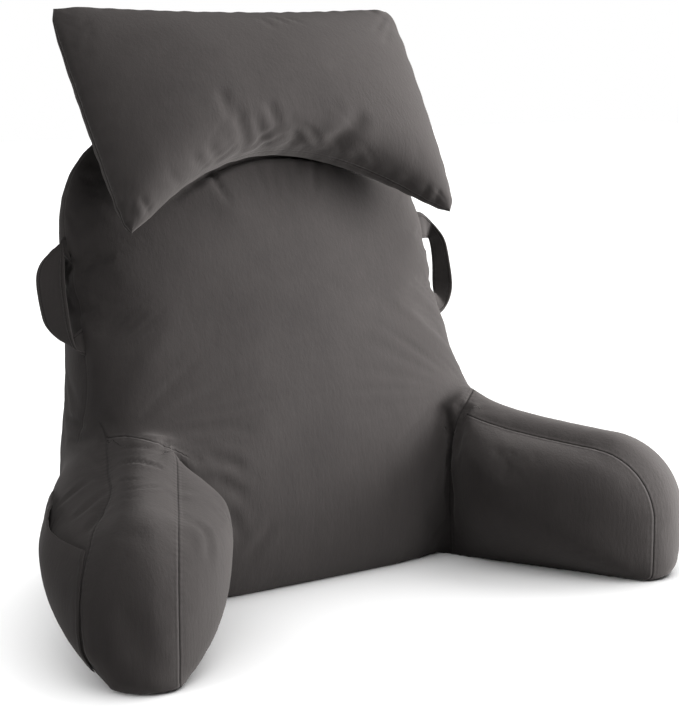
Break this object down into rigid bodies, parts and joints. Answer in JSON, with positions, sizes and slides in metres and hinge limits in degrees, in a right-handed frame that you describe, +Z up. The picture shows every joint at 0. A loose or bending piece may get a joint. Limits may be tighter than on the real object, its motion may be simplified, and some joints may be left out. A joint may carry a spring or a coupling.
{
  "type": "reading pillow",
  "caption": "Backrest cushion for sitting up in bed, with splayed armrests, an arched head pillow, carry straps and a side pocket.",
  "frame": {"origin": "on the floor plane under the middle of the whole object's bounding box", "axes": "+Z up; -Y is the side that a person leans against and +X is to the right of someone looking at that side"},
  "size_m": [0.8679, 0.5561, 0.7197],
  "materials": {
    "backrest_fabric": "matte brushed velvet",
    "arm_left_fabric": "matte brushed velvet",
    "arm_right_fabric": "matte brushed velvet",
    "head_pillow_fabric": "matte brushed velvet",
    "strap_left_fabric": "matte brushed velvet",
    "strap_right_fabric": "matte brushed velvet",
    "pocket_fabric": "matte brushed velvet"
  },
  "bodies": {
    "root": {"backrest": "backrest_fabric", "arm_left": "arm_left_fabric", "arm_right": "arm_right_fabric", "head_pillow": "head_pillow_fabric", "strap_left": "strap_left_fabric", "strap_right": "strap_right_fabric", "pocket": "pocket_fabric"}
  },
  "joints": []
}
